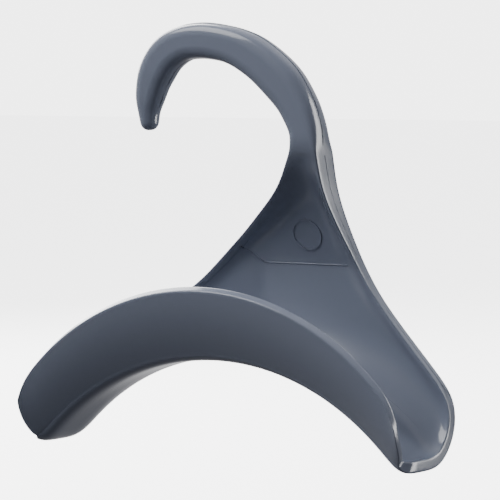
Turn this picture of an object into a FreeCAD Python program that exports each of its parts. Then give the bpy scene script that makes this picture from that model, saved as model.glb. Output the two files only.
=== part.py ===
import FreeCAD, Part
import math
import os

from FreeCAD import Vector

# One-piece moulded hanger: a rail hook above a curved, trough-shaped saddle.
# Millimetres, +Z up, -Y towards the front. The origin is the rail seat, the
# highest point of the hook's inner curve, in the middle of the hook's depth.
# The moulding is kept as the zones that its fold lines, rims and witness lines
# mark. Neighbouring zones meet face to face.

# ---- driving dimensions ---------------------------------------------------
WALL = 3.0                 # sheet thickness
ARCH_RADIUS = 106.5        # saddle floor, radius of its upper face
HALF_SPAN = 84.6           # from the saddle's middle to either end
FLOOR_DROP = 31.9          # from the outlines' datum down to the floor
TROUGH_DEPTH = 39.2        # from the panel's face to the floor's front edge
FRONT_RISE = 25.7          # front wall, height above the floor's edge
FRONT_FLARE = 9.3          # how far it leans out over that height
FRONT_BULGE = 1.6          # and how far its middle stands out from straight
FRONT_SPAN = 82.35         # half span of the floor's front edge
END_LOW = -69.0            # the front wall's ends run between these heights
END_HIGH = -53.0
BACK_CURVE = 20.0          # outer radius where the floor turns up the back
PANEL_LEAN = 19.0          # degrees that the upper panel leans forward
SIDE_TURN = 0.314          # slope at which the left panel comes forward
RIM_LOW = 2.7              # rim height along the saddle's ends
RIM_HIGH = 10.4            # rim height at the neck
NECK_HEIGHT = 46.0         # neck's top above the outlines' datum
LEVEL_FROM = 77.0          # the floor starts to level off here, from the middle
SECTION_DEPTH = 6.7        # half depth of the hook's section
RING_RADIUS = 6.45         # round moulding mark on the upper panel
RING_WIDTH = 0.6
RING_HEIGHT = 0.4
RING_X = 22.0              # its centre, right of and above the outlines' datum
RING_UP = 12.9
FOLD_RISE = 1.3            # the fold line above the outlines' datum
DATUM = Vector(16.0, 20.0, -81.0)   # zero of the outlines, from the rail seat

# ---- worked out from them ---------------------------------------------------
ARCH_Z = -FLOOR_DROP - ARCH_RADIUS
CURVE_Y = WALL - BACK_CURVE
LEAN = math.tan(math.radians(PANEL_LEAN))
INNER_CURVE = BACK_CURVE - WALL
FRONT = 0
BACK = 1

# Outlines in the front view, as (across, up) from the datum.
RIGHT_LOW = [(82.9, -48.4), (75.2, -39.0), (62.0, -23.9), (50.1, -9.1), (44.2, FOLD_RISE)]
RIGHT_HIGH = [(44.2, FOLD_RISE), (40.8, 13.6), (38.0, 28.8), (38.5, NECK_HEIGHT)]
LEFT_LOW = [(-82.6, -47.6), (-74.0, -37.0), (-60.0, -27.6), (-45.0, -19.3), (-29.3, -10.8), (-9.4, 8.8)]
LEFT_HIGH = [(-9.4, 8.8), (5.1, 20.7), (18.5, 33.0), (26.8, NECK_HEIGHT)]
LEFT_END = [(-82.6, -47.6), (-HALF_SPAN, -54.5), (-HALF_SPAN, -75.0)]
RIGHT_END = [(82.9, -48.4), (HALF_SPAN, -54.5), (HALF_SPAN, -75.0)]
NECK_SIDES = [[(26.8, NECK_HEIGHT), (26.4, 60.0)], [(38.5, NECK_HEIGHT), (38.4, 60.0)]]


def smooth(t):
    t = max(0.0, min(1.0, t))
    return t * t * (3 - 2 * t)


def mix(a, b, t):
    return tuple(p + (q - p) * t for p, q in zip(a, b))


def curve_of(points):
    """Smooth front-view curve through a few points."""
    curve = Part.BSplineCurve()
    curve.interpolate([Vector(x, 0, z) for x, z in points])
    return curve


def on_curve(curve, t):
    """Place at the fraction t of a curve's length."""
    point = curve.value(curve.parameterAtDistance(t * curve.length(), curve.FirstParameter))
    return (point.x, point.z)


OUTLINES = {name: curve_of(points) for name, points in (
    ("right_low", RIGHT_LOW), ("right_high", RIGHT_HIGH), ("left_low", LEFT_LOW),
    ("left_high", LEFT_HIGH), ("left_end", LEFT_END), ("right_end", RIGHT_END),
    ("neck_left", NECK_SIDES[0]), ("neck_right", NECK_SIDES[1]))}
LEFT_POINTS = [on_curve(OUTLINES[name], i / 60) for name in OUTLINES if "left" in name for i in range(61)]
RIGHT_POINTS = [on_curve(OUTLINES[name], i / 60) for name in OUTLINES if "right" in name for i in range(61)]


# ---- surfaces of the sheet ------------------------------------------------------
def arch_height(x, height):
    return ARCH_Z + math.sqrt((ARCH_RADIUS + height) ** 2 - x * x)


def across(fraction, height, half_span):
    """Distance from the middle, for a fraction of the saddle's angle."""
    radius = ARCH_RADIUS + height
    return radius * math.sin(fraction * math.asin(half_span / radius))


def level_off(x):
    """How far towards level the floor has turned, beyond LEVEL_FROM."""
    start = LEVEL_FROM if x > 0 else LEVEL_FROM - 1
    return max(0.0, (abs(x) - start) / 8.0) ** 2


def panel_forward(x, z):
    """How far the flat panels stand forward: the upper one leans, the left one turns."""
    lean = LEAN * min(max(0.0, z - FOLD_RISE), NECK_HEIGHT)
    turn = SIDE_TURN * min(max(0.0, -x), 30.0)
    turn *= 1 - 0.8 * smooth((-x - 30) / 45)
    turn *= smooth((math.hypot(x, z - ARCH_Z) - ARCH_RADIUS - 5) / 15)
    return max(lean, turn)


def rim_height(z):
    return RIM_LOW + (RIM_HIGH - RIM_LOW) * smooth((z + 10) / 58)


def rim(x, z):
    """Height of the rims' concave flanks at a place; those of both sides run together."""
    full = rim_height(z)
    clear = 1.0
    for edge_points in (LEFT_POINTS, RIGHT_POINTS):
        gap = min(math.hypot(x - a, z - b) for a, b in edge_points)
        clear *= 1 - max(0.0, 1 - max(0.0, gap - 1.0) / (4.5 + 0.45 * full)) ** 2
    return full * (1 - clear)


def front_wall_point(fraction, rise, side):
    half = FRONT_SPAN + 2.6 * (1 - (1 - rise) ** 4) - 0.3 * smooth((rise - 0.85) / 0.15)
    x = across(fraction, 0, half)
    y = -TROUGH_DEPTH - FRONT_FLARE * rise - FRONT_BULGE * 4 * rise * (1 - rise)
    z = arch_height(x, 0) + FRONT_RISE * rise
    end = END_LOW + (END_HIGH - END_LOW) * rise
    z += (end - arch_height(half, 0) - FRONT_RISE * rise) * max(0.0, (abs(x) - 76) / (half - 76)) ** 4
    if side == FRONT:
        return (x, y + WALL + 0.1, z + 1 - rise)
    return (x, y, z)


def floor_point(fraction, station, side):
    outer, inner, half = station
    y, height, rise = inner if side == FRONT else outer
    x = across(fraction, height, half)
    return (x, y, arch_height(x, height) + rise * level_off(x))


def curve_point(fraction, degrees, side, half):
    sine = math.sin(math.radians(degrees))
    cosine = math.cos(math.radians(degrees))
    height = INNER_CURVE - BACK_CURVE * cosine
    x = across(fraction, height, half)
    turn_up = (6.1 if side == FRONT else 6.6) * cosine ** 2 * level_off(x)
    z = arch_height(x, height)
    if side == BACK:
        return (x, CURVE_Y + BACK_CURVE * sine - panel_forward(x, z), z + turn_up)
    radius = INNER_CURVE - sine ** 2 * rim(x, z + turn_up)
    height = INNER_CURVE - radius * cosine
    x = across(fraction, height, half)
    z = arch_height(x, height)
    return (x, CURVE_Y + radius * sine - panel_forward(x, z), z + turn_up)


# ---- grid of stations: columns along the saddle, rows from the front rim upwards ----
END_STEPS = [0, 1.2, 3.2, 6.0, 10.0]
NECK_STEPS = [0, 0.1, 0.26, 0.42, 0.58, 0.74, 0.9, 1]
TOP_STEPS = [0, 0.14, 0.29, 0.44, 0.58, 0.71, 0.82, 0.90, 0.96, 1]
WALL_ROWS = [1.0, 0.955, 0.87, 0.75, 0.6, 0.45, 0.3, 0.16, 0.05]
CURVE_ROWS = [(15, HALF_SPAN), (30, HALF_SPAN), (45, HALF_SPAN), (60, HALF_SPAN), (75, 84.4), (90, 82.8)]
# Floor stations: underside and upper side as (Y, height, rise of the ends), and half span.
FLOOR_ROWS = [((-TROUGH_DEPTH, 0.0, 3.6), (-36.0, 1.3, 3.0), FRONT_SPAN),
              ((-38.6, -1.3, 5.6), (-35.2, 0.35, 5.6), 82.8),
              ((-36.8, -2.5, 6.8), (-33.8, 0.0, 6.1), 83.9),
              ((-33.5, -WALL, 7.0), (-31.5, 0.0, 6.1), HALF_SPAN),
              ((-28.5, -WALL, 6.7), (-28.0, 0.0, 6.1), HALF_SPAN),
              ((-23.0, -WALL, 6.6), (-23.0, 0.0, 6.1), HALF_SPAN),
              ((CURVE_Y, -WALL, 6.6), (CURVE_Y, 0.0, 6.1), HALF_SPAN)]
LOW_STEPS = 5


def half_columns(count):
    """Fractions of the half span from its end inwards, finer near the end."""
    inner = HALF_SPAN - END_STEPS[-1]
    places = [HALF_SPAN - step for step in END_STEPS]
    places += [inner * (count - k) / count for k in range(1, count + 1)]
    return [place / HALF_SPAN for place in places]


COLUMNS = [-f for f in half_columns(12)[:-1]] + half_columns(11)[::-1]
LAST = len(COLUMNS) - 1
MIDDLE = COLUMNS.index(0)
NECK_COLUMN = MIDDLE + 8
ROW_FLOOR = len(WALL_ROWS)
ROW_CURVE = ROW_FLOOR + len(FLOOR_ROWS) - 1
ROW_PANEL = ROW_CURVE + len(CURVE_ROWS)
ROW_FOLD = ROW_PANEL + LOW_STEPS
ROW_TOP = ROW_FOLD + len(TOP_STEPS) - 1
CURVE_TOP = CURVE_ROWS[-1][1]


def left_panel_place(column, row):
    """Front-view place left of the upright crease, from the back curve to the edge."""
    start = curve_point(COLUMNS[column], 90, BACK, CURVE_TOP)[0::2]
    middle = (0.0, ARCH_Z + ARCH_RADIUS + INNER_CURVE)
    corner = (0.0, FOLD_RISE)
    if row <= ROW_FOLD:
        t = 0.536 * (row - ROW_PANEL) / LOW_STEPS
        bend = mix(middle, corner, t / 0.536)
    else:
        step = TOP_STEPS[row - ROW_FOLD]
        t = 0.536 + 0.464 * step
        bend = mix(corner, LEFT_HIGH[0], step)
    end_x = across(COLUMNS[0], INNER_CURVE, CURVE_TOP)
    end = on_curve(OUTLINES["left_low"], 1 - start[0] / end_x)
    straight = mix(start, end, t)
    level = mix(middle, LEFT_HIGH[0], t)
    weight = (column / MIDDLE) ** 3
    return tuple(s + weight * (b - p) for s, b, p in zip(straight, bend, level))


def right_panel_place(column, row):
    """Front-view place right of the crease, below and above the level fold line."""
    start = curve_point(COLUMNS[column], 90, BACK, CURVE_TOP)[0::2]
    step = column - MIDDLE
    even = LAST - MIDDLE - len(END_STEPS) + 1
    fold_x = (RIGHT_LOW[-1][0] - END_STEPS[-1]) * step / even
    if step > even:
        fold_x = RIGHT_LOW[-1][0] - END_STEPS[::-1][step - even]
    fold = (fold_x, FOLD_RISE)
    if row <= ROW_FOLD:
        t = (row - ROW_PANEL) / LOW_STEPS
        straight = mix(start, fold, t)
        edge = on_curve(OUTLINES["right_low"], t)
        level = mix(RIGHT_LOW[0], RIGHT_LOW[-1], t)
        weight = COLUMNS[column] ** 3
    else:
        t = TOP_STEPS[row - ROW_FOLD]
        if column <= NECK_COLUMN:
            end = on_curve(OUTLINES["left_high"], step / 8)
        else:
            end = mix(LEFT_HIGH[-1], RIGHT_HIGH[-1], NECK_STEPS[step - 8])
        straight = mix(fold, end, t)
        edge = on_curve(OUTLINES["right_high"], t)
        level = mix(RIGHT_HIGH[0], RIGHT_HIGH[-1], t)
        weight = (step / (LAST - MIDDLE)) ** 3
    return tuple(s + weight * (e - p) for s, e, p in zip(straight, edge, level))


def panel_point(column, row, side):
    place = left_panel_place if column <= MIDDLE else right_panel_place
    x, z = place(column, row)
    y = -panel_forward(x, z)
    if side == BACK:
        return (x, y + WALL, z)
    high = rim_height(z)
    low = rim(x, z)
    return (x, y - low - (high - low) * smooth((z - 22) / 26), z)


def grid_point(column, row, side):
    fraction = COLUMNS[column]
    if row < ROW_FLOOR:
        place = front_wall_point(fraction, WALL_ROWS[row], side)
    elif row <= ROW_CURVE:
        place = floor_point(fraction, FLOOR_ROWS[row - ROW_FLOOR], side)
    elif row <= ROW_PANEL:
        degrees, half = CURVE_ROWS[row - ROW_CURVE - 1]
        place = curve_point(fraction, degrees, side, half)
    else:
        place = panel_point(column, row, side)
    return Vector(*place) + DATUM


POINTS = [[[grid_point(c, r, side) for r in range(ROW_TOP + 1)] for c in range(LAST + 1)]
          for side in (FRONT, BACK)]


def sheet_zone(columns, rows):
    """Closed solid of the sheet between two columns and two rows of the grid."""
    first, last = columns
    low, high = rows
    skins = []
    for side in (FRONT, BACK):
        surface = Part.BSplineSurface()
        surface.interpolate([POINTS[side][c][low:high + 1] for c in range(first, last + 1)])
        skins.append(surface)
    faces = [skin.toShape() for skin in skins]
    u0, u1, v0, v1 = skins[FRONT].bounds()
    p0, p1, q0, q1 = skins[BACK].bounds()
    rails = [(skins[FRONT].uIso(u0), skins[BACK].uIso(p0)), (skins[FRONT].uIso(u1), skins[BACK].uIso(p1)),
             (skins[FRONT].vIso(v0), skins[BACK].vIso(q0)), (skins[FRONT].vIso(v1), skins[BACK].vIso(q1))]
    faces += [Part.makeRuledSurface(a.toShape(), b.toShape()) for a, b in rails]
    shell = Part.Shell(faces)
    shell.sewShape()
    solid = Part.Solid(shell)
    if solid.Volume < 0:
        solid.reverse()
    return solid


# ---- hook ------------------------------------------------------------------------
# Its centre line in the front view, from the neck over the crown to the tip.
HOOK_LINE = [(32.65, 46.0), (32.2, 53.0), (30.2, 58.4), (27.0, 64.4), (22.4, 70.4), (16.7, 75.8),
             (9.5, 81.1), (1.3, 85.1), (-7.6, 87.2), (-16.5, 87.9), (-24.8, 86.7), (-31.8, 82.8),
             (-36.9, 75.9), (-39.8, 67.6), (-40.8, 61.0), (-40.6, 56.4)]
# Half width in the hook's plane, half depth and corner radius along that line.
HOOK_SECTIONS = [(0.00, 5.9, 6.6, 1.5), (0.07, 6.2, 6.6, 3.0), (0.15, 7.2, 6.7, 4.0), (0.26, 8.1, 6.8, 4.2),
                 (0.38, 7.8, 6.8, 4.2), (0.52, 7.0, 6.7, 4.0), (0.66, 6.9, 6.6, 4.0), (0.74, 7.2, 6.6, 4.0),
                 (0.82, 7.0, 6.4, 3.9), (0.90, 5.8, 5.7, 3.7), (1.00, 3.4, 4.2, 3.0)]
TIP_ROUND = 3.6            # length over which the hook's end closes
TIP_STEPS = 5
NECK_END = 3               # stations where one zone of the hook passes into the next
BOW_END = 12
HOOK_STATIONS = 18


def hook_frame(fraction):
    """Centre and direction of the hook's line at a fraction of its length."""
    parameter = HOOK_CURVE.parameterAtDistance(fraction * HOOK_CURVE.length(), HOOK_CURVE.FirstParameter)
    centre = HOOK_CURVE.value(parameter) + Vector(DATUM.x, 0, DATUM.z)
    return centre, HOOK_CURVE.tangent(parameter)[0]


def section_size(fraction):
    for near, far in zip(HOOK_SECTIONS, HOOK_SECTIONS[1:]):
        if fraction <= far[0]:
            return mix(near, far, smooth((fraction - near[0]) / (far[0] - near[0])))[1:]
    return HOOK_SECTIONS[-1][1:]


def hook_section(centre, along, size):
    """Rounded rectangle across the hook: half width in its plane, half depth along Y."""
    half_width, half_depth, corner = size
    across_hook = Vector(-along.z, 0, along.x)
    into_depth = Vector(0, 1, 0)
    flat_w = half_width - corner
    flat_d = half_depth - corner
    arcs = []
    for quarter in range(4):
        a = (1, -1, -1, 1)[quarter]
        b = (1, 1, -1, -1)[quarter]
        ends = []
        for degrees in (90 * quarter, 90 * quarter + 45, 90 * quarter + 90):
            turn = math.radians(degrees)
            ends.append(centre + across_hook * (a * flat_w + corner * math.cos(turn))
                        + into_depth * (b * flat_d + corner * math.sin(turn)))
        arcs.append(Part.Arc(*ends))
    edges = []
    for arc, following in zip(arcs, arcs[1:] + arcs[:1]):
        edges.append(arc.toShape())
        edges.append(Part.makeLine(arc.EndPoint, following.StartPoint))
    return Part.Wire(edges)


def hook_zone(first, last):
    """Loft of the hook between two of its stations."""
    wires = []
    for station in range(first, last + 1):
        fraction = station / HOOK_STATIONS
        centre, along = hook_frame(fraction)
        wires.append(hook_section(centre, along, section_size(fraction)))
    return Part.makeLoft(wires, True, False)


def hook_end():
    """The rounded end that closes the hook's tip."""
    centre, along = hook_frame(1.0)
    size = section_size(1.0)
    wires = []
    for step in range(TIP_STEPS + 1):
        angle = 0.46 * math.pi * step / TIP_STEPS
        scale = 0.25 + 0.75 * math.cos(angle)
        wires.append(hook_section(centre + along * TIP_ROUND * math.sin(angle), along,
                                  tuple(value * scale for value in size)))
    return Part.makeLoft(wires, True, False)


def ring_on_panel():
    """Thin round moulding mark standing on the leaning upper panel."""
    outward = Vector(0, -math.cos(math.atan(LEAN)), math.sin(math.atan(LEAN)))
    outward.z = -outward.z
    seat = DATUM + Vector(RING_X, -panel_forward(RING_X, RING_UP), RING_UP)
    outer = Part.makeCylinder(RING_RADIUS, RING_HEIGHT, seat, outward)
    inner = Part.makeCylinder(RING_RADIUS - RING_WIDTH, RING_HEIGHT, seat, outward)
    return outer.cut(inner).Solids[0]


HOOK_CURVE = curve_of(HOOK_LINE)

parts = {}
parts["front_rim"] = sheet_zone((0, LAST), (0, 2))
parts["front_wall"] = sheet_zone((0, LAST), (2, ROW_FLOOR))
parts["left_floor_end"] = sheet_zone((0, 4), (ROW_FLOOR, ROW_CURVE))
parts["saddle_floor"] = sheet_zone((4, LAST - 4), (ROW_FLOOR, ROW_CURVE))
parts["right_floor_end"] = sheet_zone((LAST - 4, LAST), (ROW_FLOOR, ROW_CURVE))
parts["back_curve"] = sheet_zone((0, LAST), (ROW_CURVE, ROW_PANEL))
parts["left_panel"] = sheet_zone((0, MIDDLE), (ROW_PANEL, ROW_TOP - 2))
parts["left_rim_low"] = sheet_zone((0, MIDDLE), (ROW_TOP - 2, ROW_TOP))
parts["left_rim_high"] = sheet_zone((MIDDLE, NECK_COLUMN), (ROW_TOP - 2, ROW_TOP))
parts["right_panel"] = sheet_zone((MIDDLE, LAST - 2), (ROW_PANEL, ROW_FOLD))
parts["right_rim_low"] = sheet_zone((LAST - 2, LAST), (ROW_PANEL, ROW_FOLD))
parts["upper_panel"] = sheet_zone((MIDDLE, LAST - 2), (ROW_FOLD, ROW_TOP - 2))
parts["right_rim_high"] = sheet_zone((LAST - 2, LAST), (ROW_FOLD, ROW_TOP - 2))
parts["neck_root"] = sheet_zone((NECK_COLUMN, LAST), (ROW_TOP - 2, ROW_TOP))
parts["hook_neck"] = hook_zone(0, NECK_END)
parts["hook_bow"] = hook_zone(NECK_END, BOW_END)
parts["hook_arm"] = hook_zone(BOW_END, HOOK_STATIONS)
parts["hook_tip"] = hook_end()
parts["raised_ring"] = ring_on_panel()

os.makedirs("parts", exist_ok=True)
for name, shape in parts.items():
    shape.exportStep("parts/" + name + ".step")
    print(name, shape.isValid(), shape.ShapeType, round(shape.Volume, 1))
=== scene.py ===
# %% [markdown]
# # A moulded saddle hanger
#
# The object is one glossy plastic moulding: a hook that goes over a rail, a
# folded back panel below it, and a curved trough that straps or tubing lie in.
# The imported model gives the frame, so it is loaded first. Every size here is in
# millimetres until the very end, when a finished mesh is scaled to metres.

import math

import bmesh
import bpy
from mathutils import Matrix, Vector


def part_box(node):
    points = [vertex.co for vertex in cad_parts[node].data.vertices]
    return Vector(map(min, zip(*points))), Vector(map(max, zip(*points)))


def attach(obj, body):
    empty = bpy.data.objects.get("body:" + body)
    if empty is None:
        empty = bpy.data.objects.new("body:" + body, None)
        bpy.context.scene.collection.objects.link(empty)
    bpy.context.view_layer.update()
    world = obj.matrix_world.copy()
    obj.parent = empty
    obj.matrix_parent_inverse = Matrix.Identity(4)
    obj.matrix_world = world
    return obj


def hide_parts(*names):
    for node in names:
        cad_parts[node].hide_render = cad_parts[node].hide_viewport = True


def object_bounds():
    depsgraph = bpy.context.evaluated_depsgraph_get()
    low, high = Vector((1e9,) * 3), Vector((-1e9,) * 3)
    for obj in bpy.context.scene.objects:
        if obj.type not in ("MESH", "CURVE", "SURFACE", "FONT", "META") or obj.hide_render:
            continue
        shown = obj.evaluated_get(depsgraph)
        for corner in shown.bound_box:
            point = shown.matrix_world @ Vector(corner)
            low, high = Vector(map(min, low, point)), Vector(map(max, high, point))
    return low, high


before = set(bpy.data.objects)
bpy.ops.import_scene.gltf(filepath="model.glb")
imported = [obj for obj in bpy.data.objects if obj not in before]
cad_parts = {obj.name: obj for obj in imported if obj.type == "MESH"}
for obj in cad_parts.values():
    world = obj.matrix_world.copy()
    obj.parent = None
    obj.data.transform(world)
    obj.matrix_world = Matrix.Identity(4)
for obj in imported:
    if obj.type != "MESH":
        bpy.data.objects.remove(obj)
cad_low, cad_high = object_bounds()
MM = 0.001
print("packed box, mm:", [round(v / MM, 1) for v in (*cad_low, *cad_high)])

# %% [markdown]
# ## Where the skin starts
#
# The frame's origin is the rail seat under the hook. The outlines of the panel
# are easier to read from the corner where its three folds meet, so that corner
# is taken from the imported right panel: its left side is the upright fold and its
# top is the level fold. The upright sheet's front face stands 20 mm behind the
# rail seat.

# %% Datum and main sizes
panel_low, panel_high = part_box("right_panel")
curve_low, curve_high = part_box("back_curve")
neck_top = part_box("neck_root")[1].z

FOLD_RISE = 1.3
WALL = 3.0
SHEET_FRONT = 20.0
datum_x = round(panel_low.x / MM, 2)
datum_z = round(panel_high.z / MM - FOLD_RISE, 2)
DATUM = Vector((datum_x, SHEET_FRONT, datum_z))
HALF_SPAN = round((curve_high.x - curve_low.x) / 2 / MM, 1)
NECK_HEIGHT = round(neck_top / MM - datum_z, 1)
print("datum", tuple(DATUM), "half span", HALF_SPAN, "neck height", NECK_HEIGHT)

# %% [markdown]
# ## Small helpers
#
# Three things are wanted again and again: a soft step from 0 to 1, a mix of two
# places, and a smooth curve through a few points. The curve is a Catmull-Rom
# spline, which passes through every point it is given, so an outline needs only
# as many points as its shape has turns.

# %% Soft step, mix and curve
def smooth(t):
    t = max(0.0, min(1.0, t))
    return t * t * (3 - 2 * t)


def mix(a, b, t):
    return tuple(p + (q - p) * t for p, q in zip(a, b))


def slopes(points, reach):
    """Slope at each point of a curve, with respect to its length."""
    steps = [tuple((q - p) / (e - d) for p, q in zip(a, b))
             for a, b, d, e in zip(points, points[1:], reach, reach[1:])]
    found = [steps[0]]
    for one, two, a, b, c in zip(steps, steps[1:], reach, reach[1:], reach[2:]):
        found.append(mix(one, two, (b - a) / (c - a)))
    return found + [steps[-1]]


def along(points, t):
    """Place at the fraction t of a smooth curve through the points."""
    reach = [0.0]
    for a, b in zip(points, points[1:]):
        reach.append(reach[-1] + math.dist(a, b))
    slope = slopes(points, reach)
    goal = t * reach[-1]
    i = 0
    while i < len(points) - 2 and goal > reach[i + 1]:
        i += 1
    gap = reach[i + 1] - reach[i]
    u = (goal - reach[i]) / gap
    return tuple((2 * u ** 3 - 3 * u * u + 1) * p + (3 * u * u - 2 * u ** 3) * q
                 + gap * ((u ** 3 - 2 * u * u + u) * a + (u ** 3 - u * u) * b)
                 for p, q, a, b in zip(points[i], points[i + 1], slope[i], slope[i + 1]))


# %% [markdown]
# ## Outlines of the panel
#
# Seen from the front, the panel is a lopsided tent: its right side falls from
# the neck to the far end of the saddle in one sweep, and its left side runs out
# low above the trough. Each side is split where a fold reaches it.

# %% Outlines, across and up from the datum
RIGHT_LOW = [(82.9, -48.4), (75.2, -39.0), (62.0, -23.9), (50.1, -9.1), (44.2, FOLD_RISE)]
RIGHT_HIGH = [(44.2, FOLD_RISE), (40.8, 13.6), (38.0, 28.8), (38.5, NECK_HEIGHT)]
LEFT_LOW = [(-82.6, -47.6), (-74.0, -37.0), (-60.0, -27.6), (-45.0, -19.3), (-29.3, -10.8), (-9.4, 8.8)]
LEFT_HIGH = [(-9.4, 8.8), (5.1, 20.7), (18.5, 33.0), (26.8, NECK_HEIGHT)]
LEFT_END = [(-82.6, -47.6), (-HALF_SPAN, -54.5), (-HALF_SPAN, -75.0)]
RIGHT_END = [(82.9, -48.4), (HALF_SPAN, -54.5), (HALF_SPAN, -75.0)]
NECK_LEFT = [(26.8, NECK_HEIGHT), (26.4, 60.0)]
NECK_RIGHT = [(38.5, NECK_HEIGHT), (38.4, 60.0)]
EDGE_STEPS = 60


def edge_points(lines):
    """Closely spaced places along the lines of one side."""
    return [along(line, i / EDGE_STEPS) for line in lines for i in range(EDGE_STEPS + 1)]


LEFT_POINTS = edge_points((LEFT_LOW, LEFT_HIGH, LEFT_END, NECK_LEFT))
RIGHT_POINTS = edge_points((RIGHT_LOW, RIGHT_HIGH, RIGHT_END, NECK_RIGHT))
print(len(LEFT_POINTS) + len(RIGHT_POINTS), "points along the panel's edges")

# %% [markdown]
# ## How the sheet is bent
#
# The saddle's floor is part of a cylinder. The upper panel leans towards the
# front above the level fold, and the left panel comes forward from the upright
# fold. Along the edges the sheet swells forward into a rim with a hollow
# flank, low at the saddle and high at the neck.

# %% Bends of the sheet
ARCH_RADIUS = 106.5
FLOOR_DROP = 31.9
ARCH_Z = -FLOOR_DROP - ARCH_RADIUS
LEAN = math.tan(math.radians(19))
SIDE_TURN = 0.314
SIDE_REACH = 30.0
RIM_LOW = 2.7
RIM_HIGH = 10.4
RIM_TOP = 1.0
FLANK_LEAST, FLANK_GAIN = 4.5, 0.45


def arch_height(x, height):
    return ARCH_Z + math.sqrt((ARCH_RADIUS + height) ** 2 - x * x)


def across(fraction, height, half_span):
    radius = ARCH_RADIUS + height
    return radius * math.sin(fraction * math.asin(half_span / radius))


def panel_forward(x, z):
    lean = LEAN * min(max(0.0, z - FOLD_RISE), NECK_HEIGHT)
    turn = SIDE_TURN * min(max(0.0, -x), SIDE_REACH)
    turn *= 1 - 0.8 * smooth((-x - SIDE_REACH) / 45)
    turn *= smooth((math.hypot(x, z - ARCH_Z) - ARCH_RADIUS - 5) / 15)
    return max(lean, turn)


def rim_height(z):
    return RIM_LOW + (RIM_HIGH - RIM_LOW) * smooth((z + 10) / 58)


def rim(x, z):
    """Height of the rim's hollow flanks: those of both sides run into each other."""
    full = rim_height(z)
    clear = 1.0
    for side_points in (LEFT_POINTS, RIGHT_POINTS):
        gap = min(math.hypot(x - a, z - b) for a, b in side_points)
        flank = FLANK_LEAST + FLANK_GAIN * full
        clear *= 1 - max(0.0, 1 - max(0.0, gap - RIM_TOP) / flank) ** 2
    return full * (1 - clear)


# %% [markdown]
# ## A cage of columns and rows
#
# One sheet makes everything but the hook. Its cage is a plain grid: columns run
# along the saddle, and rows run from the front rim, down the front wall,
# across the floor, round the back curve and up the panel. Rows are closer where
# the sheet bends sharply, because subdivision rounds whatever lies between.

# %% Columns and rows of the cage
END_STEPS = [0, 1.2, 3.2, 6.0, 10.0]
NECK_STEPS = [0, 0.1, 0.26, 0.42, 0.58, 0.74, 0.9, 1]
TOP_STEPS = [0, 0.14, 0.29, 0.44, 0.58, 0.71, 0.82, 0.90, 0.96, 1]
WALL_ROWS = [1.0, 0.925, 0.85, 0.75, 0.6, 0.45, 0.3, 0.16, 0.05]
CURVE_ROWS = [(15, HALF_SPAN), (30, HALF_SPAN), (45, HALF_SPAN), (60, HALF_SPAN),
              (75, 84.4), (90, 82.8)]
TROUGH_DEPTH = 39.2
FRONT_SPAN = 82.35
FRONT_RISE = 25.7
FRONT_LEAN, FRONT_BULGE = 9.3, 1.6
FRONT_FLARE, FRONT_EASE = 2.6, 0.3
END_FROM, END_LOW, END_HIGH = 76, -69.0, -53.0
LIP = 0.9
BACK_CURVE = 20.0
INNER_CURVE = BACK_CURVE - WALL
CURVE_Y = WALL - BACK_CURVE
LOW_STEPS = 5


def half_columns(count):
    inner = HALF_SPAN - END_STEPS[-1]
    places = [HALF_SPAN - step for step in END_STEPS]
    places += [inner * (count - k) / count for k in range(1, count + 1)]
    return [place / HALF_SPAN for place in places]


COLUMNS = [-f for f in half_columns(12)[:-1]] + half_columns(11)[::-1]
LAST = len(COLUMNS) - 1
MIDDLE = COLUMNS.index(0)
NECK_COLUMN = MIDDLE + 8
print(len(COLUMNS), "columns, the upright fold is column", MIDDLE)

# %% [markdown]
# ## Stations across the floor
#
# Each station gives the underside and the upper side, each as a depth, a height
# off the arch and how much the ends turn up, and then the half span. The underside
# has a narrow rounded chamfer behind its crisp front edge.

# %% Floor stations
FLOOR_ROWS = [((-TROUGH_DEPTH, 0.0, 3.6), (-36.0, 1.3, 3.0), FRONT_SPAN),
              ((-38.6, -1.3, 5.6), (-35.2, 0.35, 5.6), 82.8),
              ((-36.8, -2.5, 6.8), (-33.8, 0.0, 6.1), 83.9),
              ((-33.5, -WALL, 7.0), (-31.5, 0.0, 6.1), HALF_SPAN),
              ((-28.5, -WALL, 6.7), (-28.0, 0.0, 6.1), HALF_SPAN),
              ((-23.0, -WALL, 6.6), (-23.0, 0.0, 6.1), HALF_SPAN),
              ((CURVE_Y, -WALL, 6.6), (CURVE_Y, 0.0, 6.1), HALF_SPAN)]
LEVEL_FROM = 77.0
LEVEL_REACH = 8.0
INNER_TURN_UP, OUTER_TURN_UP = 6.1, 6.6
ROW_FLOOR = len(WALL_ROWS)
ROW_CURVE = ROW_FLOOR + len(FLOOR_ROWS) - 1
ROW_PANEL = ROW_CURVE + len(CURVE_ROWS)
ROW_FOLD = ROW_PANEL + LOW_STEPS
ROW_TOP = ROW_FOLD + len(TOP_STEPS) - 1
print("rows: floor", ROW_FLOOR, "curve", ROW_CURVE, "panel", ROW_PANEL, "fold", ROW_FOLD, "top", ROW_TOP)


def level_off(x):
    start = LEVEL_FROM if x > 0 else LEVEL_FROM - 1
    return max(0.0, (abs(x) - start) / LEVEL_REACH) ** 2


# %% [markdown]
# ## Places on the trough
#
# The front wall is the arch lifted and moved forward, with a slight bulge. The
# back curve is a quarter turn whose inner radius shrinks where the rim stands
# forward, so the floor runs into the panel with no step.

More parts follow.
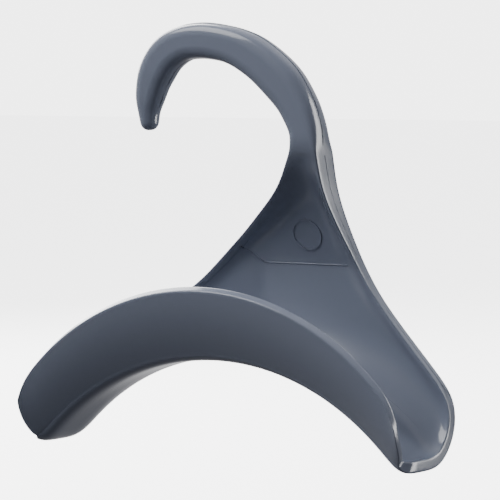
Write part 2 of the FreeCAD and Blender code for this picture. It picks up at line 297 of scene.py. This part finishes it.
# %% Front wall, floor and back curve
def front_wall_point(fraction, rise, front):
    half = FRONT_SPAN + FRONT_EASE + FRONT_FLARE * (1 - (1 - rise) ** 4)
    half -= FRONT_EASE * smooth((rise - 0.85) / 0.15)
    x = across(fraction, 0, half)
    y = -TROUGH_DEPTH - FRONT_LEAN * rise - FRONT_BULGE * 4 * rise * (1 - rise)
    z = arch_height(x, 0) + FRONT_RISE * rise
    end = END_LOW + (END_HIGH - END_LOW) * rise
    near_end = max(0.0, (abs(x) - END_FROM) / (half - END_FROM)) ** 4
    z += (end - arch_height(half, 0) - FRONT_RISE * rise) * near_end
    lip = LIP * smooth((rise - 0.88) / 0.12)
    return (x, y + WALL + 0.1, z + 1 - rise + lip) if front else (x, y, z - lip)


def floor_point(fraction, station, front):
    outer, inner, half = station
    y, height, rise = inner if front else outer
    x = across(fraction, height, half)
    return (x, y, arch_height(x, height) + rise * level_off(x))


def curve_point(fraction, degrees, front, half):
    sine = math.sin(math.radians(degrees))
    cosine = math.cos(math.radians(degrees))
    height = INNER_CURVE - BACK_CURVE * cosine
    x = across(fraction, height, half)
    turn_up = (INNER_TURN_UP if front else OUTER_TURN_UP) * cosine ** 2 * level_off(x)
    z = arch_height(x, height)
    radius = BACK_CURVE
    if front:
        radius = INNER_CURVE - sine ** 2 * rim(x, z + turn_up)
        height = INNER_CURVE - radius * cosine
        x = across(fraction, height, half)
        z = arch_height(x, height)
    return (x, CURVE_Y + radius * sine - panel_forward(x, z), z + turn_up)


# %% [markdown]
# ## Places on the panel
#
# Left of the upright fold the rows run out to the low left edge, and the fold
# itself turns at the corner and goes on as the slanting fold. Right of it they
# climb to the level fold, and then to the left edge and the neck.

# %% Left and right halves of the panel
CURVE_TOP = CURVE_ROWS[-1][1]
CORNER_AT = 0.536


def left_panel_place(column, row):
    start = curve_point(COLUMNS[column], 90, False, CURVE_TOP)[0::2]
    middle = (0.0, ARCH_Z + ARCH_RADIUS + INNER_CURVE)
    corner = (0.0, FOLD_RISE)
    if row <= ROW_FOLD:
        step = (row - ROW_PANEL) / LOW_STEPS
        t = CORNER_AT * step
        bend = mix(middle, corner, step)
    else:
        step = TOP_STEPS[row - ROW_FOLD]
        t = CORNER_AT + (1 - CORNER_AT) * step
        bend = mix(corner, LEFT_HIGH[0], step)
    end = along(LEFT_LOW, 1 - start[0] / across(COLUMNS[0], INNER_CURVE, CURVE_TOP))
    weight = (column / MIDDLE) ** 3
    level = mix(middle, LEFT_HIGH[0], t)
    return tuple(s + weight * (b - p) for s, b, p in zip(mix(start, end, t), bend, level))


def right_panel_place(column, row):
    step = column - MIDDLE
    even = LAST - MIDDLE - len(END_STEPS) + 1
    fold_x = (RIGHT_LOW[-1][0] - END_STEPS[-1]) * step / even
    if step > even:
        fold_x = RIGHT_LOW[-1][0] - END_STEPS[::-1][step - even]
    fold = (fold_x, FOLD_RISE)
    if row <= ROW_FOLD:
        t = (row - ROW_PANEL) / LOW_STEPS
        start = curve_point(COLUMNS[column], 90, False, CURVE_TOP)[0::2]
        straight, line, weight = mix(start, fold, t), RIGHT_LOW, COLUMNS[column] ** 3
    else:
        t = TOP_STEPS[row - ROW_FOLD]
        end = along(LEFT_HIGH, min(1.0, step / 8))
        if column > NECK_COLUMN:
            end = mix(LEFT_HIGH[-1], RIGHT_HIGH[-1], NECK_STEPS[step - 8])
        straight, line, weight = mix(fold, end, t), RIGHT_HIGH, (step / (LAST - MIDDLE)) ** 3
    level = mix(line[0], line[-1], t)
    return tuple(s + weight * (e - p) for s, e, p in zip(straight, along(line, t), level))


# %% Any place on either face of the sheet
EDGE_INSETS = {ROW_TOP - 1: 1.3, ROW_TOP - 2: 3.2}


def panel_place(column, row):
    """Front-view place; the last rows before a free edge keep their distance from it."""
    find = left_panel_place if column <= MIDDLE else right_panel_place
    near = EDGE_INSETS.get(row)
    if near is None or column >= NECK_COLUMN:
        return find(column, row)
    edge, inner = find(column, ROW_TOP), find(column, ROW_TOP - 3)
    return mix(edge, inner, near / math.dist(edge, inner))


def panel_point(column, row, front):
    x, z = panel_place(column, row)
    y = -panel_forward(x, z)
    if not front:
        return (x, y + WALL, z)
    low = rim(x, z)
    return (x, y - low - (rim_height(z) - low) * smooth((z - 22) / 26), z)


def sheet_point(column, row, front):
    fraction = COLUMNS[column]
    if row < ROW_FLOOR:
        return front_wall_point(fraction, WALL_ROWS[row], front)
    if row <= ROW_CURVE:
        return floor_point(fraction, FLOOR_ROWS[row - ROW_FLOOR], front)
    if row <= ROW_PANEL:
        degrees, half = CURVE_ROWS[row - ROW_CURVE - 1]
        return curve_point(fraction, degrees, front, half)
    return panel_point(column, row, front)


# %% [markdown]
# ## The slab
#
# The cage is first built as a flat slab whose coordinates are simply column,
# row and layer. A grid gives the front face; extruding it three times gives two
# layers inside the thickness, which hold the rims square, and the back face.

# %% Build the slab
BACK_LAYER = 3
cage = bmesh.new()
crease = cage.edges.layers.float.new("crease_edge")
bmesh.ops.create_grid(cage, x_segments=LAST, y_segments=ROW_TOP, size=0.5)
bmesh.ops.transform(cage, verts=cage.verts,
                    matrix=Matrix.Diagonal((LAST, ROW_TOP, 1, 1)) @ Matrix.Translation((0.5, 0.5, 0)))
face_region = cage.faces[:]
for layer in range(BACK_LAYER):
    old_faces = face_region if layer else []
    made = bmesh.ops.extrude_face_region(cage, geom=face_region, use_keep_orig=True)["geom"]
    bmesh.ops.delete(cage, geom=old_faces, context="FACES")
    moved = [e for e in made if isinstance(e, bmesh.types.BMVert)]
    face_region = [e for e in made if isinstance(e, bmesh.types.BMFace)]
    bmesh.ops.translate(cage, verts=moved, vec=(0, 0, 1))
print("slab:", len(cage.verts), "vertices,", len(cage.faces), "faces")

# %% [markdown]
# ## The hook
#
# The hook grows out of the neck, so it is made from the neck's own top: that
# patch of faces is extruded along the hook's centre line, and each new ring is
# set to a rounded rectangle. The section is fullest on the right, where the
# load bends it, and thinner towards the tip.

# %% Centre line and sections of the hook
HOOK_LINE = [(32.65, 46.0), (32.2, 53.0), (30.2, 58.4), (27.0, 64.4), (22.4, 70.4), (16.7, 75.8),
             (9.5, 81.1), (1.3, 85.1), (-7.6, 87.2), (-16.5, 87.9), (-24.8, 86.7), (-31.8, 82.8),
             (-36.9, 75.9), (-39.8, 67.6), (-40.8, 61.0), (-40.6, 56.4)]
HOOK_SECTIONS = [(0.00, 5.9, 6.6, 1.5), (0.07, 6.2, 6.6, 3.0), (0.15, 7.2, 6.7, 4.0),
                 (0.26, 8.1, 6.8, 4.2), (0.38, 7.8, 6.8, 4.2), (0.52, 7.0, 6.7, 4.0),
                 (0.66, 6.9, 6.6, 4.0), (0.74, 7.2, 6.6, 4.0), (0.82, 7.0, 6.4, 3.9),
                 (0.90, 5.8, 5.7, 3.7), (1.00, 3.4, 4.2, 3.0)]
HOOK_STATIONS = 30
TIP_ROUND = 3.6
TIP_STEPS = 4
CORNER_PULL = 0.26
SAMPLE = 0.01


def section_size(fraction):
    for near, far in zip(HOOK_SECTIONS, HOOK_SECTIONS[1:]):
        if fraction <= far[0]:
            return mix(near, far, smooth((fraction - near[0]) / (far[0] - near[0])))[1:]
    return HOOK_SECTIONS[-1][1:]


def hook_frame(fraction):
    """Centre and direction of the hook at a fraction of its line."""
    x, z = along(HOOK_LINE, fraction)
    near = along(HOOK_LINE, max(0.0, fraction - SAMPLE))
    far = along(HOOK_LINE, min(1.0, fraction + SAMPLE))
    direction = Vector((far[0] - near[0], 0, far[1] - near[1])).normalized()
    return Vector((x, -DATUM.y, z)), direction


# %% [markdown]
# Each ring has eight places across and four deep. The outermost ones lie on the
# section's sides, the next ones where its corners begin to turn, and the corner
# itself is drawn in, so that subdivision gives a true round.

# %% Place one vertex of a hook ring
def ring_place(centre, direction, size, column, layer):
    half_width, half_depth, corner = size
    k = column - NECK_COLUMN
    last = LAST - NECK_COLUMN
    flat_w, flat_d = half_width - corner, half_depth - corner
    a = flat_w * (2 * (k - 1) / (last - 2) - 1)
    b = flat_d * (2 * (layer - 1) - 1)
    pull = 0.0
    if layer in (0, 3) and k in (0, last):
        pull = CORNER_PULL * corner
    if k in (0, last):
        a = math.copysign(half_width - pull, k - 1)
    if layer in (0, 3):
        b = math.copysign(half_depth - pull, layer - 1)
    side = Vector((direction.z, 0, -direction.x))
    return centre + side * a + Vector((0, b, 0))


# %% Move the slab into shape
INSET_MOST, INSET_SHARE = 1.0, 0.25


def place(vertex):
    column, row, layer = (round(v) for v in vertex)
    face, back = (Vector(sheet_point(column, row, front)) for front in (True, False))
    if layer == 0:
        return face
    if layer == BACK_LAYER:
        return back
    inset = min(INSET_MOST, INSET_SHARE * (back - face).length) / (back - face).length
    return face.lerp(back, inset if layer == 1 else 1 - inset)


folds = 0
for edge in cage.edges:
    (c0, r0, k0), (c1, r1, k1) = ([round(v) for v in vert.co] for vert in edge.verts)
    if k0 == k1 and k0 in (0, BACK_LAYER):
        upright = c0 == c1 == MIDDLE and min(r0, r1) > ROW_PANEL
        level = r0 == r1 == ROW_FOLD and min(c0, c1) >= MIDDLE
        crisp = r0 == r1 == ROW_FLOOR and k0 == BACK_LAYER and 1 < c0 < LAST - 1
        if upright or level or crisp:
            edge[crease] = 0.7 if crisp else 1.0
            folds += 1
cap = [face for face in cage.faces if abs(face.normal.y) > 0.9
       and all(round(v.co.y) == ROW_TOP and round(v.co.x) >= NECK_COLUMN for v in face.verts)]
address = {vert: tuple(round(v) for v in vert.co) for vert in cage.verts}
for vert in cage.verts:
    vert.co = place(vert.co)
print("folds:", folds, "edges; neck cap:", len(cap), "faces")

# %% Extrude the hook from the neck
spots = [(i / HOOK_STATIONS, 0.0, 1.0) for i in range(1, HOOK_STATIONS + 1)]
for step in range(1, TIP_STEPS + 1):
    turn = 0.5 * math.pi * step / (TIP_STEPS + 0.6)
    spots.append((1.0, TIP_ROUND * math.sin(turn), 0.12 + 0.88 * math.cos(turn)))
for fraction, beyond, scale in spots:
    before = {tuple(round(c, 4) for c in v.co): address[v] for f in cap for v in f.verts}
    made = bmesh.ops.extrude_face_region(cage, geom=cap)["geom"]
    bmesh.ops.delete(cage, geom=[face for face in cap if face.is_valid], context="FACES")
    cap = [e for e in made if isinstance(e, bmesh.types.BMFace)]
    centre, direction = hook_frame(fraction)
    for vert in [e for e in made if isinstance(e, bmesh.types.BMVert)]:
        address[vert] = before[tuple(round(c, 4) for c in vert.co)]
        column, _, layer = address[vert]
        size = tuple(v * scale for v in section_size(fraction))
        vert.co = ring_place(centre + direction * beyond, direction, size, column, layer)
print("whole cage:", len(cage.verts), "vertices")

# %% [markdown]
# ## From cage to piece
#
# The mesh is moved to the frame, scaled to metres and given its normals. The
# folds are creased, so subdivision keeps them as edges while all else flows.

# %% Finish the skin
def finished(bm, name, smooth_shading=True):
    bmesh.ops.scale(bm, verts=bm.verts, vec=(MM, MM, MM))
    bmesh.ops.recalc_face_normals(bm, faces=bm.faces)
    mesh = bpy.data.meshes.new(name)
    bm.to_mesh(mesh)
    bm.free()
    for polygon in mesh.polygons:
        polygon.use_smooth = smooth_shading
    piece = bpy.data.objects.new(name, mesh)
    bpy.context.scene.collection.objects.link(piece)
    return piece


bmesh.ops.translate(cage, verts=cage.verts, vec=DATUM)
skin = finished(cage, "hanger_moulding")
rounding = skin.modifiers.new("Rounding", "SUBSURF")
SUBDIVISIONS = 2
rounding.levels = rounding.render_levels = SUBDIVISIONS
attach(skin, "root")
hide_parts(*[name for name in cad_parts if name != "raised_ring"])
print("skin faces in the cage:", len(skin.data.polygons))

# %% [markdown]
# ## Mould lines
#
# Where the two halves of a mould meet, and where flat panels fold, a moulding
# carries a hair-fine raised line. Each one is a thin round bead half sunk in the
# skin: a small circle extruded from point to point, and turned at each one.

# %% A bead along a path
def bead(bm, path, radius):
    headings = [(b - a).normalized() for a, b in zip(path, path[1:])]
    facing = headings[0].to_track_quat("Z", "Y").to_matrix().to_4x4()
    made = bmesh.ops.create_circle(bm, cap_ends=True, segments=8, radius=radius,
                                   matrix=Matrix.Translation(path[0]) @ facing)
    end_face = made["verts"][0].link_faces[:]
    for i, (here, there) in enumerate(zip(path, path[1:])):
        made = bmesh.ops.extrude_face_region(bm, geom=end_face)["geom"]
        if i:
            bmesh.ops.delete(bm, geom=end_face, context="FACES")
        end_face = [e for e in made if isinstance(e, bmesh.types.BMFace)]
        ring_verts = [e for e in made if isinstance(e, bmesh.types.BMVert)]
        bmesh.ops.translate(bm, verts=ring_verts, vec=there - here)
        turn = headings[i].rotation_difference(headings[min(i + 1, len(headings) - 1)])
        bmesh.ops.rotate(bm, verts=ring_verts, cent=there, matrix=turn.to_matrix())


# %% [markdown]
# The level and slanting folds and the foot of the back curve follow the cage's
# own columns and rows. The hook's parting line runs round the middle of its outer
# and inner faces, and comes down the panel's right flank.

# %% Lines of the moulding
def on_sheet(column, row, front=True):
    return Vector(sheet_point(column, row, front)) + DATUM


def on_hook(fraction, side):
    centre, direction = hook_frame(fraction)
    return centre + Vector((direction.z, 0, -direction.x)) * side * section_size(fraction)[0] + DATUM


LEVEL_FOLD, SLANT_FOLD, CURVE_FOOT, PARTING = 0.36, 0.3, 0.24, 0.14
FINE_STEPS = 60
outer_line = [on_hook(i / FINE_STEPS, 1) for i in range(1, FINE_STEPS - 2)]
inner_line = [on_hook(i / FINE_STEPS, -1) for i in range(4, FINE_STEPS - 2)]
flank_line = [on_sheet(LAST, r).lerp(on_sheet(LAST, r, False), 0.5) for r in range(ROW_PANEL, ROW_TOP)]

lines = bmesh.new()
bead(lines, [on_sheet(c, ROW_FOLD) for c in range(MIDDLE, LAST - 2)], LEVEL_FOLD)
bead(lines, [on_sheet(MIDDLE, r) for r in range(ROW_FOLD, ROW_TOP - 1)], SLANT_FOLD)
bead(lines, outer_line, PARTING)
bead(lines, inner_line, PARTING)
bead(lines, [on_sheet(c, ROW_CURVE + 2) for c in range(MIDDLE, LAST)], CURVE_FOOT)
bead(lines, flank_line, PARTING)
mould_lines = finished(lines, "mould_lines")
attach(mould_lines, "root")
print("mould lines:", len(mould_lines.data.polygons), "faces")

# %% [markdown]
# ## Glossy slate plastic
#
# The moulding is coloured right through and comes out of a polished mould, so
# it has a dark blue-grey body under a clear sharp gloss. Very faint waviness
# keeps the reflections from looking like those of a perfect ball.

# %% Plastic material
plastic = bpy.data.materials.new("Glossy slate plastic")
plastic.use_nodes = True
nodes, links = plastic.node_tree.nodes, plastic.node_tree.links
shader = nodes["Principled BSDF"]
shader.inputs["Base Color"].default_value = (0.135, 0.153, 0.2, 1)
shader.inputs["Roughness"].default_value = 0.15
shader.inputs["IOR"].default_value = 1.5
where = nodes.new("ShaderNodeTexCoord")
waves = nodes.new("ShaderNodeTexNoise")
waves.inputs["Scale"].default_value = 45
waves.inputs["Detail"].default_value = 2
bump = nodes.new("ShaderNodeBump")
bump.inputs["Strength"].default_value = 0.04
bump.inputs["Distance"].default_value = 0.0004
links.new(where.outputs["Object"], waves.inputs["Vector"])
links.new(waves.outputs["Fac"], bump.inputs["Height"])
links.new(bump.outputs["Normal"], shader.inputs["Normal"])
skin.data.materials.append(plastic)
mould_lines.data.materials.append(plastic)
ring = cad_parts["raised_ring"]
ring.data.materials.clear()
ring.data.materials.append(plastic)

# %% [markdown]
# ## Studio
#
# A pale floor lies well below the hanger, since it hangs. The floor is left out
# of the plastic's reflections, as if the hanger were hung far above it, so its
# gloss shows the dark lower half of the room and its front wall keeps its depth.

# %% Floor
FLOOR_HALF = 9000
FLOOR_GAP = 60
floor = bmesh.new()
bmesh.ops.create_grid(floor, x_segments=1, y_segments=1, size=FLOOR_HALF)
bmesh.ops.translate(floor, verts=floor.verts, vec=(0, 0, cad_low.z / MM - FLOOR_GAP))
stage_floor = finished(floor, "studio_floor", False)
pale = bpy.data.materials.new("Pale floor")
pale.use_nodes = True
pale_shader = pale.node_tree.nodes["Principled BSDF"]
pale_shader.inputs["Base Color"].default_value = (0.9, 0.9, 0.9, 1)
pale_shader.inputs["Roughness"].default_value = 1.0
pale_shader.inputs["Specular IOR Level"].default_value = 0.0
pale_shader.inputs["Emission Color"].default_value = (1, 1, 1, 1)
pale_shader.inputs["Emission Strength"].default_value = 3.5
stage_floor.data.materials.append(pale)
stage_floor.visible_diffuse = False
stage_floor.visible_glossy = False

# %% [markdown]
# The world is a gradient: brightest above, behind and to the left, and dark
# towards the front and below, like a room lit only from its far side. What the
# camera sees past the floor is plain white.

# %% World
BRIGHT_SIDE = (-0.22, 0.24, 0.22)
GREYS = ((0.5, 0.24), (0.65, 0.36), (0.8, 1.2))
BACKDROP = 4.5
world = bpy.data.worlds.new("Studio")
bpy.context.scene.world = world
world.use_nodes = True
wn, wl = world.node_tree.nodes, world.node_tree.links
dim = wn["Background"]
dim.inputs["Strength"].default_value = 1.0
heading = wn.new("ShaderNodeTexCoord")
toward = wn.new("ShaderNodeVectorMath")
toward.operation = "DOT_PRODUCT"
toward.inputs[1].default_value = BRIGHT_SIDE
ramp = wn.new("ShaderNodeValToRGB")
ramp.color_ramp.elements[0].position = 0.2
ramp.color_ramp.elements[0].color = (0.15, 0.15, 0.165, 1)
ramp.color_ramp.elements[1].position = 1.0
ramp.color_ramp.elements[1].color = (1, 1, 1, 1)
for position, grey in GREYS:
    stop = ramp.color_ramp.elements.new(position)
    stop.color = (grey, grey, 1.04 * grey, 1)
shift = wn.new("ShaderNodeMath")
shift.inputs[1].default_value = 0.5
wl.new(heading.outputs["Generated"], toward.inputs[0])
wl.new(toward.outputs["Value"], shift.inputs[0])
wl.new(shift.outputs[0], ramp.inputs[0])
wl.new(ramp.outputs["Color"], dim.inputs["Color"])
bright = wn.new("ShaderNodeBackground")
bright.inputs["Color"].default_value = (1, 1, 1, 1)
bright.inputs["Strength"].default_value = BACKDROP
path = wn.new("ShaderNodeLightPath")
choose = wn.new("ShaderNodeMixShader")
wl.new(path.outputs["Is Camera Ray"], choose.inputs[0])
wl.new(dim.outputs[0], choose.inputs[1])
wl.new(bright.outputs[0], choose.inputs[2])
wl.new(choose.outputs[0], wn["World Output"].inputs["Surface"])


# %% [markdown]
# The key light stands behind on the left and a tall narrow one behind on the
# right, so both outline the rims. The softbox at the upper left gives the
# highlight over the hook. The front and top lights only lift the shadows, so
# the gloss doesn't mirror them.

# %% Lights
def softbox(name, place, aim, wide, tall, power, mirrored):
    lamp = bpy.data.lights.new(name, "AREA")
    lamp.shape = "RECTANGLE"
    lamp.size = wide
    lamp.size_y = tall
    lamp.energy = power
    box = bpy.data.objects.new(name, lamp)
    box.location = place
    box.rotation_mode = "QUATERNION"
    box.rotation_quaternion = (Vector(aim) - Vector(place)).to_track_quat("-Z", "Y")
    box.visible_glossy = mirrored
    bpy.context.scene.collection.objects.link(box)


# name, place from the hanger's middle, width, height, power, mirrored
LIGHTS = [("Key softbox", (-0.9, 0.45, 0.55), 0.9, 0.9, 24, True),
          ("Upper left softbox", (-0.62, -0.62, 1.1), 0.8, 0.8, 15, True),
          ("Front fill", (-0.3, -1.0, 0.9), 0.8, 0.8, 11, False),
          ("Right strip", (0.7, 0.8, 0.2), 0.3, 0.9, 8, True),
          ("Top light", (-0.2, 0.2, 1.5), 1.6, 1.6, 4, False)]
CENTRE = (cad_low + cad_high) / 2
for name, offset, wide, tall, power, mirrored in LIGHTS:
    softbox(name, CENTRE + Vector(offset), CENTRE, wide, tall, power, mirrored)

# %% [markdown]
# ## Camera
#
# A long lens far away keeps the arch's curve true. It stands to the right of
# the front and only just above the middle of the hanger.

# %% Camera
AZIMUTH, ELEVATION = math.radians(32), math.radians(3.55)
TARGET = Vector((9.38, 20.0, -75.22)) * MM
DISTANCE = 1.1811
back_way = Vector((math.sin(AZIMUTH) * math.cos(ELEVATION),
                   -math.cos(AZIMUTH) * math.cos(ELEVATION), math.sin(ELEVATION)))
lens = bpy.data.cameras.new("Camera")
lens.lens = 216
lens.sensor_width = 36
camera = bpy.data.objects.new("Camera", lens)
camera.location = TARGET + back_way * DISTANCE
camera.rotation_mode = "QUATERNION"
camera.rotation_quaternion = (-back_way).to_track_quat("-Z", "Y")
bpy.context.scene.collection.objects.link(camera)
bpy.context.scene.camera = camera
